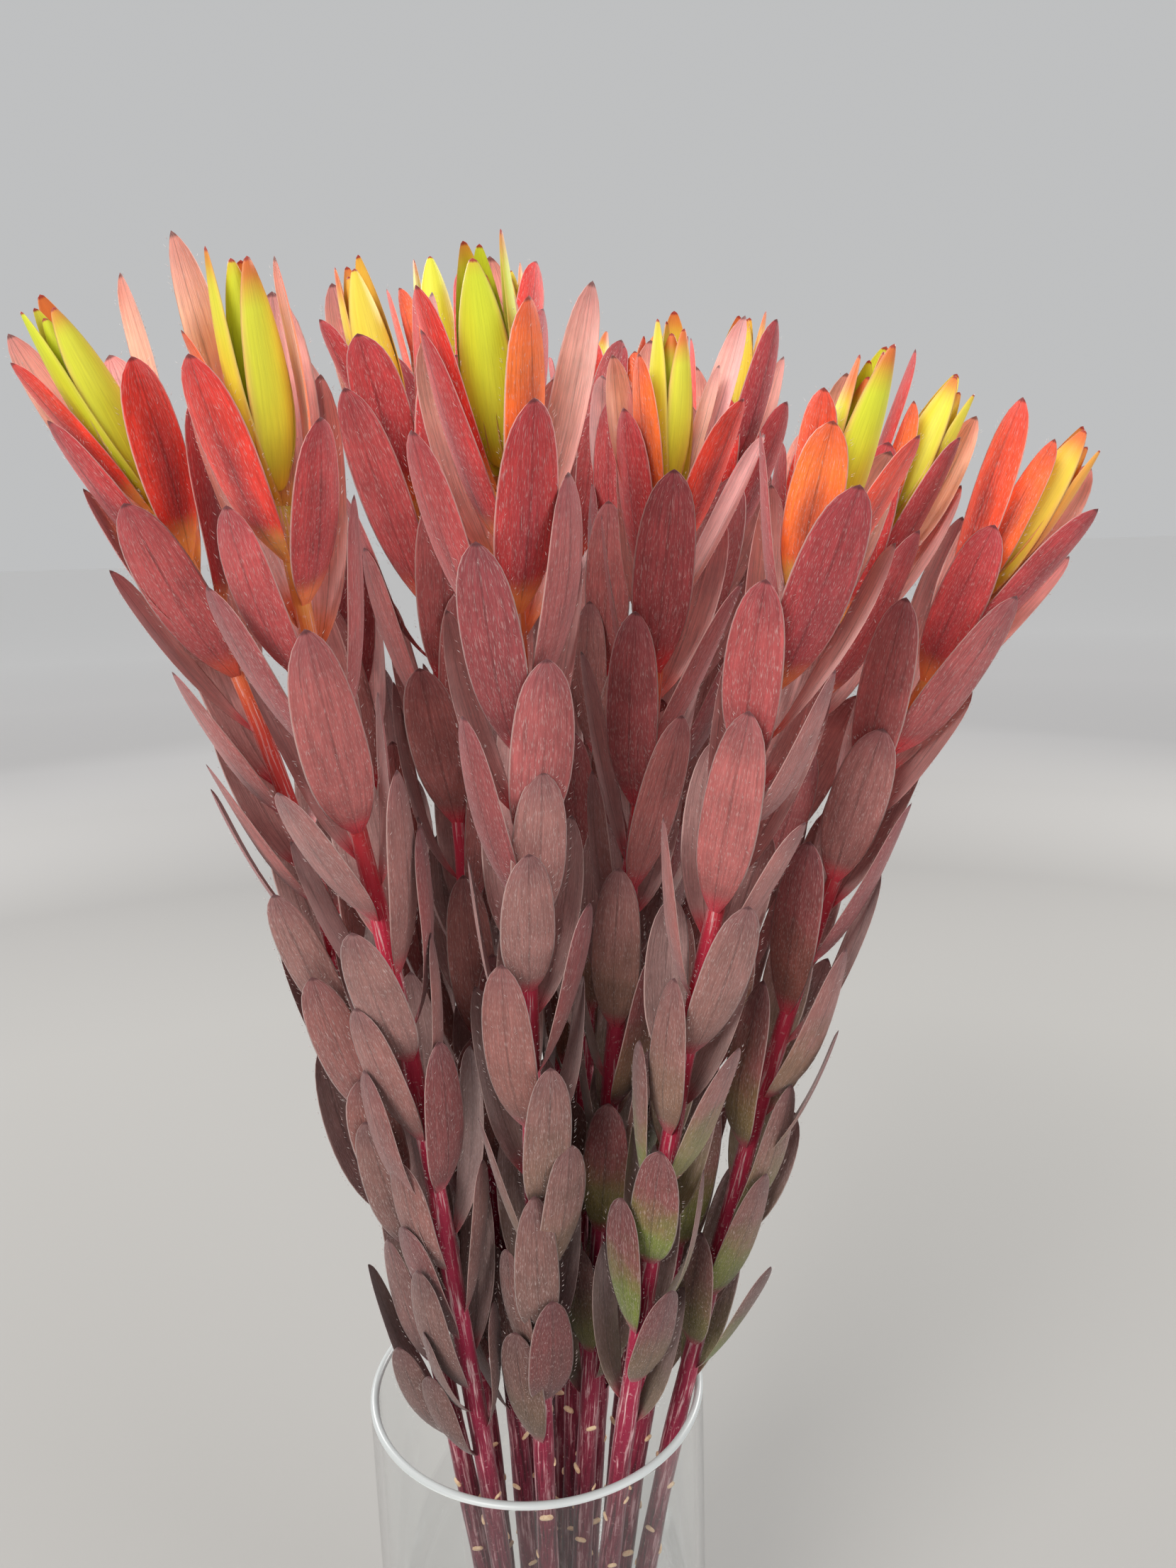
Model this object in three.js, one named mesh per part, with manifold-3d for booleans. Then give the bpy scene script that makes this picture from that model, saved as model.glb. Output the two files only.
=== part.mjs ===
// Safari sunset leucadendron: a bunch of leafy stems standing in a clear glass cylinder vase.
// Millimetres, +Z up. The origin is the centre of the underside of the vase.

import * as THREE from 'three';
import { mergeVertices } from 'three/addons/utils/BufferGeometryUtils.js';
import Module from 'manifold-3d';

const wasm = await Module();
wasm.setup();

// Vase and water
const vase = { radius: 60, height: 200, wall: 3, floor: 12, edge: 1.5, corner: 6, sides: 36 };
const water = { level: 55, clearance: 0.35, corner: 0.3, overshoot: 2 };
const touch = 0.3; // running gap between pieces that rest on each other

// The bunch: every stem follows one fan, scaled by how far its head stands from the vase axis
const fan = { waist: 110, heads: 480, foot: 0.25, centreX: 25, centreY: 5 };
const open = { wide: 0.6, power: 1.2, flare: 0.15, flarePower: 6 };
const sway = 2;
const nod = { below: 70, above: 50 };
const cane = { footRadius: 4.1, tipRadius: 2.3, taper: 1.3, sides: 6, step: 46, crowd: 0.85 };

// Each stem: across, back, height of its tip, compass turn of its highest leaf,
// how far the head nods across, and the hand of its leaf spiral
const stems = [
  [-80, -48, 505, 30, 4, 1],
  [-53, -78, 505, 142, 24, -1],
  [-22, -12, 520, -5, -6, 1],
  [-12, 27, 534, 100, 0, -1],
  [4, -76, 507, -48, -9, 1],
  [4, 68, 556, 300, 0, -1],
  [28, 102, 538, 250, 0, 1],
  [42, 58, 520, 330, -4, -1],
  [50, -30, 499, 20, -22, 1],
  [64, 8, 510, -55, -14, -1],
  [78, -82, 485, -125, -14, -1],
  [109, -20, 488, 37, -4, 1],
  [140, -38, 473, 40, 2, 1],
  [-62, 22, 500, 120, 6, -1],
  [104, 56, 496, 20, -6, -1],
];

// Leaves climb the stem by the golden angle, close together under the head
const leafing = { turn: 137.5, spacing: 9.6, crowding: 5, start: 0.4, first: 6, lowest: 188 };
const leaf = {
  length: [57, 63], width: [16.5, 19.5], base: [32, 35], splay: [10, 16], // low on the stem, at its tip
  root: 0.5, bend: 0.35, cup: 0.12, keel: 0.7,
};
const outline = [[0, 0], [0.3, 0.96], [0.8, 0.88], [1, 0]]; // share of the length, share of the width

// The youngest leaves are narrower and held closer, and no two leaves are quite alike
const young = { leaves: 5, narrower: 0.16, closer: 3 };
const vary = { turn: 9, length: 0.12, width: 0.08, base: 7, splay: 5, twist: 0.35 };

// Leaves of one stem may cross in its head or when they are near in the spiral;
// below the youngest every third leaf is left out
const crossing = { head: 5, nested: 3 };
const thinning = { from: 5, every: 3, dropped: 2 };

// Pale inner bracts closed over the flower at the tip of each stem
const bud = { bracts: 3, length: 54, width: 11.5, base: 30, splay: 4, root: 1, rise: 2.2, cup: 0.2 };
const budVary = { turn: 60, shorter: 0.08, twist: 0.2 };
const budCore = [[0, 0], [1.8, 0], [2.6, 8], [3.4, 26], [0, 50]];
const budSides = 6;
const budRoom = { low: 3.9, high: 8, rise: 16 };

// Clearances of a blade, where they are measured on it, and the poses it tries in turn:
// turned aside, held closer or wider, made smaller, turned to the outside of the bunch
const room = { blade: 0.5, stem: 1.8, bud: 0.6, glass: 1, rim: 2 };
const probes = { steps: 10, across: [-1, -0.5, 0, 0.5, 1], rootRise: 3.2, tipFall: 4 };
const eases = [
  [0, 1, 1, 0], [14, 1, 1, 0], [-14, 1, 1, 0], [0, 1.3, 1, 0.25], [10, 0.8, 1, 0.4], [-10, 0.8, 1, 0.4],
  [0, 1.1, 1, 0.6], [15, 1.3, 0.95, 0.5], [-15, 1.3, 0.95, 0.5], [0, 0.9, 0.9, 0.8], [0, 0.6, 0.85, 0.3],
  [0, 1.5, 0.85, 0.9], [12, 0.6, 0.82, 0], [-12, 0.4, 0.72, 0],
];

// Seeded draws between -1 and 1, one sequence for each stem
function draws(seed) {
  let state = (seed * 7919 + 12345) % 4294967296;
  return () => {
    state = (state * 1664525 + 1013904223) % 4294967296;
    return (state / 4294967296) * 2 - 1;
  };
}

const mix = (range, share) => range[0] + (range[1] - range[0]) * share;
const radians = THREE.MathUtils.degToRad;

function openness(z) {
  const climb = Math.max(0, (z - fan.waist) / (fan.heads - fan.waist));
  return fan.foot + open.wide * climb ** open.power + open.flare * climb ** open.flarePower;
}

function makeStem([across, back, top, turn, lean, hand], index) {
  const draw = draws(index + 1);
  const outside = THREE.MathUtils.radToDeg(Math.atan2(back - fan.centreY, across - fan.centreX));
  const swayX = sway * draw();
  const swayY = sway * draw();
  return { across, back, top, turn, lean, hand, outside, swayX, swayY, draw };
}

const bunch = stems.map(makeStem);

// Centre of a stem at a height, also above its tip, where its head stands
function axis(stem, z) {
  const spread = openness(z);
  const climb = THREE.MathUtils.clamp((z - fan.waist) / (fan.heads - fan.waist), 0, 1);
  const bow = Math.sin(Math.PI * climb);
  const head = Math.max(0, (z - stem.top + nod.below) / (nod.below + nod.above));
  const x = stem.across * spread + stem.swayX * bow + stem.lean * head * head;
  return new THREE.Vector3(x, stem.back * spread + stem.swayY * bow, z);
}

function stemRadius(stem, z) {
  const share = Math.max(0, (z - vase.floor) / (stem.top - vase.floor));
  return cane.footRadius - (cane.footRadius - cane.tipRadius) * share ** cane.taper;
}

// Closed solids: vertices merged, slivers at the poles dropped
function toSolid(geometry) {
  geometry.deleteAttribute('normal');
  geometry.deleteAttribute('uv');
  const merged = mergeVertices(geometry, 1e-4);
  const index = merged.index.array;
  const kept = [];
  for (let i = 0; i < index.length; i += 3) {
    const [a, b, c] = [index[i], index[i + 1], index[i + 2]];
    if (a !== b && b !== c && c !== a) kept.push(a, b, c);
  }
  const vertProperties = new Float32Array(merged.attributes.position.array);
  return new wasm.Manifold(new wasm.Mesh({ numProp: 3, vertProperties, triVerts: new Uint32Array(kept) }));
}

function toMesh(name, solid, look) {
  const { vertProperties, triVerts } = solid.getMesh();
  const geometry = new THREE.BufferGeometry();
  geometry.setAttribute('position', new THREE.BufferAttribute(new Float32Array(vertProperties), 3));
  geometry.setIndex(new THREE.BufferAttribute(new Uint32Array(triVerts), 1));
  const mesh = new THREE.Mesh(geometry, new THREE.MeshStandardMaterial(look));
  mesh.name = name;
  return mesh;
}

// A turned shape with its axis along Z
function turned(profile, sides) {
  const points = profile.map(([radius, z]) => new THREE.Vector2(radius, z));
  return new THREE.LatheGeometry(points, sides).rotateX(Math.PI / 2);
}

function moveEach(geometry, place) {
  const position = geometry.attributes.position;
  const point = new THREE.Vector3();
  for (let i = 0; i < position.count; i += 1) {
    place(point.fromBufferAttribute(position, i));
    position.setXYZ(i, point.x, point.y, point.z);
  }
  return geometry;
}

// A length of stem between two heights, swollen by some clearance where it cuts a hole
function caneSolid(stem, from, to, swell) {
  const rise = to - fan.waist;
  const count = Math.max(1, Math.round(rise / cane.step));
  const heights = [from];
  for (let i = 0; i <= count; i += 1) heights.push(fan.waist + rise * (i / count) ** cane.crowd);
  const levels = rise > 0 ? heights : [from, to];
  const wall = levels.map((z) => [stemRadius(stem, z) + swell, z]);
  const shape = turned([[0, from], ...wall, [0, to]], cane.sides);
  return toSolid(moveEach(shape, (point) => {
    const centre = axis(stem, point.z);
    point.x += centre.x;
    point.y += centre.y;
  }));
}

// Where a blade grows: stem direction, outward direction and sideways direction at its root
function seat(stem, z, turnDegrees) {
  const root = axis(stem, z);
  const along = axis(stem, z + 1).sub(axis(stem, z - 1)).normalize();
  const turn = radians(turnDegrees);
  const out = new THREE.Vector3(Math.cos(turn), Math.sin(turn), 0);
  out.addScaledVector(along, -out.dot(along)).normalize();
  return { root, along, out, side: along.clone().cross(out) };
}

// The midrib leaves the stem at its base angle and ends on the line of its splay angle
function midrib(blade) {
  const { root, along, out } = blade.seat;
  const start = root.clone().addScaledVector(out, blade.rootRadius);
  const at = (distance, degrees) => start.clone()
    .addScaledVector(along, distance * Math.cos(radians(degrees)))
    .addScaledVector(out, distance * Math.sin(radians(degrees)));
  const bend = at(blade.length * leaf.bend, blade.base);
  return new THREE.QuadraticBezierCurve3(start, bend, at(blade.length, blade.splay));
}

// A point of the blade: share from root to tip, u from -1 to 1 between its edges
function bladePoint(blade, rib, share, reach, u, below) {
  const centre = rib.getPoint(share);
  const tangent = rib.getTangent(share);
  const side = blade.seat.side.clone().applyAxisAngle(tangent, blade.twist * share);
  const inner = tangent.clone().cross(side);
  const half = (blade.width / 2) * reach;
  const lift = Math.abs(u) * half * blade.cup;
  return centre.addScaledVector(side, u * half).addScaledVector(inner, lift - below);
}

// A blade is a three-sided spindle laid along its midrib: two edges and a keel under the rib
function bladeSolid(blade, swell) {
  const grown = { ...blade, width: blade.width + 2 * swell, length: blade.length + swell };
  const rib = midrib(grown);
  const spindle = turned(outline.map(([share, reach], row) => [reach, row]), 3);
  return toSolid(moveEach(spindle, (point) => {
    const [share, reach] = outline[Math.round(point.z)];
    const u = Math.abs(point.x) < 1e-3 ? 0 : Math.sign(point.x);
    const below = point.y < -1e-3 ? blade.keel + swell : -swell;
    point.copy(bladePoint(grown, rib, share, reach, u, reach > 0 ? below : 0));
  }));
}

// Points over a blade, for the tests against stems, buds and glass
function* probe(blade) {
  const rib = midrib(blade);
  for (let step = 1; step <= probes.steps; step += 1) {
    const share = step / probes.steps;
    const reach = Math.min(1, share * probes.rootRise, (1 - share) * probes.tipFall);
    for (const u of probes.across) yield bladePoint(blade, rib, share, reach, u, 0);
  }
}

// The blade keeps clear of other stems, of every bud and of the glass
function clearOfStems(blade, stem) {
  const inside = vase.radius - vase.wall - room.glass;
  for (const point of probe(blade)) {
    if (point.z < vase.height + room.rim && Math.hypot(point.x, point.y) > inside) return false;
    for (const other of bunch) {
      const centre = axis(other, point.z);
      const distance = Math.hypot(point.x - centre.x, point.y - centre.y);
      const above = point.z - other.top;
      const bulge = mix([budRoom.low, budRoom.high], Math.min(1, above / budRoom.rise));
      if (above > 0 && distance < bulge + room.bud) return false;
      if (above <= 0 && other !== stem && distance < stemRadius(other, point.z) + room.stem) return false;
    }
  }
  return true;
}

// A swollen copy of the blade may cut no blade that is already placed
function clearOfBlades(blade, stem, order, placed) {
  const swollen = bladeSolid(blade, room.blade);
  const box = swollen.boundingBox();
  for (const item of placed) {
    const near = [0, 1, 2].every((k) => item.box.min[k] < box.max[k] && item.box.max[k] > box.min[k]);
    const beside = order <= crossing.head || order - item.order < crossing.nested;
    const mayCross = item.stem === stem && beside;
    if (near && !mayCross && !item.solid.intersect(swollen).isEmpty()) return false;
  }
  return true;
}

// Heights of the leaves of a stem, from the head down
function leafHeights(stem) {
  const heights = [];
  let z = stem.top - leafing.first;
  while (z > leafing.lowest) {
    heights.push(z);
    z -= leafing.spacing * (1 - Math.exp(-(heights.length + leafing.start) / leafing.crowding));
  }
  return heights;
}

function makeLeaf(stem, z, order, ease) {
  const [turnShift, closeness, size, outward] = ease;
  const spread = stem.spreads[order];
  const height = (z - leafing.lowest) / (stem.top - leafing.lowest);
  const youth = Math.max(0, 1 - order / young.leaves);
  const wide = (1 + vary.width * spread[2]) * (1 - young.narrower * youth);
  const splay = mix(leaf.splay, height) + vary.splay * spread[4] - young.closer * youth;
  const turn = stem.turn + leafing.turn * stem.hand * order + vary.turn * spread[0];
  const toOutside = THREE.MathUtils.euclideanModulo(stem.outside - turn + 180, 360) - 180;
  return {
    seat: seat(stem, z, turn + toOutside * outward + turnShift),
    rootRadius: stemRadius(stem, z) * leaf.root,
    length: mix(leaf.length, Math.sqrt(height)) * (1 + vary.length * spread[1]) * size,
    width: mix(leaf.width, height) * wide * size,
    base: (mix(leaf.base, height) + vary.base * spread[3]) * closeness,
    splay: splay * closeness,
    twist: vary.twist * spread[5] * closeness,
    cup: leaf.cup,
    keel: leaf.keel,
  };
}

// Leaves are settled from the heads down, each in the first of its poses that is clear
// of the rest; a leaf with no clear pose is left out
function settleLeaves() {
  const placed = [];
  for (const stem of bunch) {
    stem.heights = leafHeights(stem);
    stem.spreads = stem.heights.map(() => Array.from({ length: 6 }, () => stem.draw()));
    stem.leaves = [];
  }
  const most = Math.max(...bunch.map((stem) => stem.heights.length));
  for (let order = 0; order < most; order += 1) {
    for (const stem of bunch.filter((each) => each.heights.length > order)) {
      const clear = (pose) => clearOfStems(pose, stem) && clearOfBlades(pose, stem, order, placed);
      const poses = eases.map((ease) => makeLeaf(stem, stem.heights[order], order, ease));
      const blade = poses.find(clear);
      if (!blade) continue;
      const solid = bladeSolid(blade, 0);
      placed.push({ solid, box: solid.boundingBox(), stem, order });
      stem.leaves.push({ solid, order });
    }
  }
}

function bractsOf(stem) {
  const bracts = [];
  for (let order = 0; order < bud.bracts; order += 1) {
    const z = stem.top + touch + bud.rise * (order + 1);
    const turn = stem.turn + budVary.turn + (360 / bud.bracts) * order;
    const length = bud.length * (1 - budVary.shorter * order);
    const twist = budVary.twist * stem.draw();
    const place = { seat: seat(stem, z, turn), rootRadius: bud.root };
    bracts.push({ ...bud, ...place, length, twist, keel: leaf.keel });
  }
  return bracts;
}

// Straight glass wall with a round rim, on a thick floor with a round inner corner
function makeVase() {
  const lip = vase.wall / 2;
  const profile = [[0, 0], [vase.radius - vase.edge, 0], [vase.radius, vase.edge]];
  for (const degrees of [0, 45, 90, 135, 180]) {
    const across = lip * Math.cos(radians(degrees));
    const up = lip * Math.sin(radians(degrees));
    profile.push([vase.radius - lip + across, vase.height - lip + up]);
  }
  for (const degrees of [0, 45, 90]) {
    const across = vase.corner * (1 - Math.cos(radians(degrees)));
    const up = vase.corner * (1 - Math.sin(radians(degrees)));
    profile.push([vase.radius - vase.wall - across, vase.floor + up]);
  }
  profile.push([0, vase.floor]);
  return toSolid(turned(profile, vase.sides));
}

// The water fills the vase to its level, with a hole round every stem
function makeWater() {
  const inner = vase.radius - vase.wall - touch;
  const bottom = vase.floor + touch;
  const cut = vase.corner * water.corner;
  const profile = [
    [0, bottom], [inner - vase.corner, bottom], [inner - cut, bottom + cut],
    [inner, bottom + vase.corner], [inner, water.level], [0, water.level],
  ];
  const from = vase.floor - water.overshoot;
  const to = water.level + water.overshoot;
  const holes = bunch.map((stem) => caneSolid(stem, from, to, water.clearance));
  return holes.reduce((body, hole) => body.subtract(hole), toSolid(turned(profile, vase.sides)));
}

function makeLeafyStem(stem) {
  const isKept = ({ order }) => order < thinning.from || order % thinning.every !== thinning.dropped;
  const bare = caneSolid(stem, vase.floor + touch, stem.top, 0);
  return stem.leaves.filter(isKept).reduce((body, { solid }) => body.add(solid), bare);
}

function makeBud(stem) {
  const core = moveEach(turned(budCore, budSides), (point) => {
    point.z += stem.top + touch;
    const centre = axis(stem, point.z);
    point.x += centre.x;
    point.y += centre.y;
  });
  return bractsOf(stem).reduce((body, blade) => body.add(bladeSolid(blade, 0)), toSolid(core));
}

const glassLook = { color: '#dfe9e7', roughness: 0.05, metalness: 0, transparent: true, opacity: 0.35 };
const waterLook = { color: '#cfe0e2', roughness: 0.02, metalness: 0, transparent: true, opacity: 0.4 };
const leafLook = { color: '#7d3a3e', roughness: 0.55, metalness: 0 };
const bractLook = { color: '#c3c534', roughness: 0.5, metalness: 0 };

settleLeaves();
const part = new THREE.Group();
part.add(toMesh('vase', makeVase(), glassLook));
part.add(toMesh('water', makeWater(), waterLook));
bunch.forEach((stem, index) => {
  const number = String(index + 1).padStart(2, '0');
  part.add(toMesh(`stem_${number}`, makeLeafyStem(stem), leafLook));
  part.add(toMesh(`bud_${number}`, makeBud(stem), bractLook));
});

export default part;
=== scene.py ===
import math

import bmesh
import bpy
import numpy as np
from mathutils import Matrix, Vector
from mathutils.bvhtree import BVHTree


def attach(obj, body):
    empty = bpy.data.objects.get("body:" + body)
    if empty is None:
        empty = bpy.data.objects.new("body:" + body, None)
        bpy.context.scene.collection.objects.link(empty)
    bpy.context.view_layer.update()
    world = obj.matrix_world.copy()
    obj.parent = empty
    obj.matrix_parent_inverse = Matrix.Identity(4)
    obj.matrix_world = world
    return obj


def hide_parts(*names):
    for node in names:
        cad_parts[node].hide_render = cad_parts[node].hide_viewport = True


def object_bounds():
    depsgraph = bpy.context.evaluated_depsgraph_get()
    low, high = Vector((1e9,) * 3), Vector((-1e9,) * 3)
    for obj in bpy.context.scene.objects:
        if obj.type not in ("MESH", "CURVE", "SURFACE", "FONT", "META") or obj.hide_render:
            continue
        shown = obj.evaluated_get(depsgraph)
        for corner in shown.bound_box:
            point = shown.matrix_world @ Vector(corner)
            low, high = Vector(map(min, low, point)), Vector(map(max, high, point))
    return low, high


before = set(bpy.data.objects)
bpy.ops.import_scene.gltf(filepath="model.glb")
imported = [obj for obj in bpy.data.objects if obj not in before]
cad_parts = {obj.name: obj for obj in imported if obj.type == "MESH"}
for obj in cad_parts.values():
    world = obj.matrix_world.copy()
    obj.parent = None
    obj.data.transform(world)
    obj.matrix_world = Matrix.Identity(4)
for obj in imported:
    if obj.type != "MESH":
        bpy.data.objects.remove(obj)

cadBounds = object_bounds()
scene = bpy.context.scene
print("frame loaded")


def addObject(name, data):
    thing = bpy.data.objects.new(name, data)
    scene.collection.objects.link(thing)
    return thing


def meshOf(bm, name):
    mesh = bpy.data.meshes.new(name)
    bm.to_mesh(mesh)
    bm.free()
    return mesh


# camera, where the photographer stood: a little above the heads, looking down into the bunch
cameraSetup = {
    "height": 0.4957, "distance": 0.378, "lens": 36.043, "sensor": 36.0, "clip": 0.01,
    "down": 11.53, "right": 3.77, "roll": -1.72,  # degrees
}


def makeCamera():
    down, right, roll = (math.radians(cameraSetup[k]) for k in ("down", "right", "roll"))
    ahead = Vector((math.sin(right) * math.cos(down), math.cos(right) * math.cos(down), -math.sin(down)))
    level = ahead.cross(Vector((0, 0, 1))).normalized()
    upright = level.cross(ahead)
    across = math.cos(roll) * level + math.sin(roll) * upright
    up = math.cos(roll) * upright - math.sin(roll) * level
    place = Matrix((across, up, -ahead)).transposed().to_4x4()
    place.translation = Vector((0, -cameraSetup["distance"], cameraSetup["height"]))
    data = bpy.data.cameras.new("camera")
    data.lens, data.sensor_width, data.clip_start = (cameraSetup[k] for k in ("lens", "sensor", "clip"))
    data.sensor_fit = "HORIZONTAL"
    camera = addObject("camera", data)
    camera.matrix_world = place
    scene.camera = camera


makeCamera()


# node helpers
def addNode(tree, kind, inputs=None, **options):
    node = tree.nodes.new(kind)
    for key, value in options.items():
        setattr(node, key, value)
    for key, value in (inputs or {}).items():
        if isinstance(value, bpy.types.NodeSocket):
            tree.links.new(value, node.inputs[key])
        else:
            node.inputs[key].default_value = value
    return node


def calc(tree, operation, a, b=0.0, c=0.0):
    return addNode(tree, "ShaderNodeMath", {0: a, 1: b, 2: c}, operation=operation).outputs[0]


def times(tree, value, *others):
    for other in others:
        value = calc(tree, "MULTIPLY", value, other)
    return value


def scaled(tree, value, factor, shift):  # value times factor, plus shift
    return calc(tree, "MULTIPLY_ADD", value, factor, shift)


def vector(tree, x, y, z):
    return addNode(tree, "ShaderNodeCombineXYZ", {0: x, 1: y, 2: z}).outputs[0]


def objectPlace(tree):
    return addNode(tree, "ShaderNodeTexCoord").outputs["Object"]


def fade(tree, value, span):  # 0 at the span's start, 1 at its end, soft between
    return addNode(tree, "ShaderNodeMapRange", {"Value": value, "From Min": span[0], "From Max": span[1]},
                   interpolation_type="SMOOTHSTEP").outputs[0]


def blend(tree, factor, a, b, mode="MIX"):
    node = addNode(tree, "ShaderNodeMix", {0: factor, 6: a, 7: b}, data_type="RGBA", blend_type=mode)
    return node.outputs[2]


def tint(code):  # a screen colour such as "b03438" as linear light, by the sRGB curve
    screen = [int(code[i:i + 2], 16) / 255 for i in (0, 2, 4)]
    return tuple(v / 12.92 if v <= 0.04045 else ((v + 0.055) / 1.055) ** 2.4 for v in screen) + (1.0,)


def paint(tree, mask, colour, coat):  # coat: how much of it shows, and its screen colour
    share, code = coat
    return blend(tree, times(tree, mask, share), colour, tint(code))


def ramp(tree, factor, stops):
    node = addNode(tree, "ShaderNodeValToRGB", {0: factor})
    band = node.color_ramp
    while len(band.elements) < len(stops):
        band.elements.new(0.5)
    for element, (place, code) in zip(band.elements, stops):
        element.position = place
        element.color = tint(code)
    return node.outputs[0]


def shaded(tree, colour, light):
    grey = addNode(tree, "ShaderNodeCombineColor", {0: light, 1: light, 2: light}).outputs[0]
    return blend(tree, 1.0, colour, grey, "MULTIPLY")


def marksOf(tree, names):
    return [addNode(tree, "ShaderNodeAttribute", attribute_name=name, attribute_type="GEOMETRY").outputs["Fac"]
            for name in names.split()]


def grain(tree, place, look):  # look: scale, detail, roughness and, where it bends, distortion
    inputs = dict(zip(("Scale", "Detail", "Roughness", "Distortion"), look), Vector=place)
    return addNode(tree, "ShaderNodeTexNoise", inputs).outputs[0]


def fibreGrain(tree, along, across, tone, look):  # runs along a blade and differs from blade to blade
    place = vector(tree, *(times(tree, value, size) for value, size in zip((across, along, tone), look["stretch"])))
    return grain(tree, place, look["fibres"])


def newMaterial(name, **surface):
    material = bpy.data.materials.new(name)
    material.use_nodes = True
    tree = material.node_tree
    shader = next(n for n in tree.nodes if n.type == "BSDF_PRINCIPLED")
    for key, value in surface.items():
        shader.inputs[key.replace("_", " ")].default_value = value
    return material, tree, shader


def clearMaterial(name, code, **surface):
    material, _, shader = newMaterial(name, **surface)
    shader.inputs["Base Color"].default_value = tint(code)
    return material


def dye(tree, shader, colour):
    tree.links.new(colour, shader.inputs["Base Color"])


def bump(tree, shader, height, relief):
    node = addNode(tree, "ShaderNodeBump", {"Height": height, "Distance": relief[0], "Strength": relief[1]})
    tree.links.new(node.outputs[0], shader.inputs["Normal"])


# leaves: dusty rose-brown blades, crimson at the base, red to orange in the head
# the stops of a colour go from the oldest leaf to the youngest; a pair ending in At says where a mark fades in
leafFinish = {
    "outer": [(0.0, "94615a"), (0.12, "a65e5a"), (0.3, "a54e4e"), (0.55, "bb3637"), (0.8, "e83e2e"), (1.0, "f87834")],
    "inner": [(0.0, "9a7d78"), (0.2, "bc8c88"), (0.5, "dca29c"), (0.8, "ecaca2"), (1.0, "f4b49c")],
    "tip": [(0.0, "6c4448"), (0.4, "86303a"), (1.0, "bc2a2e")],
    "base": [(0.0, "d2264a"), (0.3, "dc3440"), (0.5, "f4944a"), (1.0, "f8e070")],
    "edge": [(0.0, "d8bcb4"), (0.5, "f0c0b6"), (1.0, "ffe0d2")],
    "dusk": (0.7, "8b645e"), "brown": (0.55, "7a544b"), "wine": (0.6, "7c2c34"), "centre": (0.6, "7c2c34"),
    "patch": (1.0, "7f8c34"), "backPatch": (0.5, "7f8c34"), "hair": (1.0, "ecd6d0"), "callus": (0.75, "4c2226"),
    "fibres": (2.6, 4.0, 0.62), "stretch": (6.0, 2.2, 41.0), "mottle": (90.0, 3.0, 0.6),
    "silk": (2.2, 2.0, 0.5), "silkStretch": (24.0, 17.0, 73.0), "silkSlant": 6.0,
    "duskYouthAt": (0.4, 0.1), "duskToneAt": (0.6, 0.15),
    "wineToneAt": (0.6, 0.95), "wineYouthAt": (0.95, 0.4),
    "patchMottle": 0.5, "patchAt": (1.05, 0.6), "patchFootAt": (0.06, 0.22),
    "centreAt": (0.75, 0.05), "centreYouthAt": (0.3, 0.6), "centreTipAt": (0.98, 0.6),
    "skinAt": (0.62, 0.38), "tipAt": (0.8, 1.0), "tipped": 0.5,
    "footFibres": 0.16, "footYouth": -0.18, "footAt": (0.3, 0.1), "footed": 0.95,
    # the low pair darkens the lower leaves towards the rim of the vase: painted shade deep in the bunch
    "fibreLight": (1.5, 0.3), "mottleLight": (0.8, 0.63), "lowPaintedShade": (-0.52, 1.15),
    "ribAt": (0.07, 0.015), "ribDark": 0.26, "silkAt": (0.54, 0.74), "silky": 0.44,
    "rimAt": (0.88, 0.99), "rimLow": (-0.2, 0.7), "callusAt": (0.982, 0.997),
    "silkRelief": 0.8, "relief": (0.0004, 0.45),
}


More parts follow.
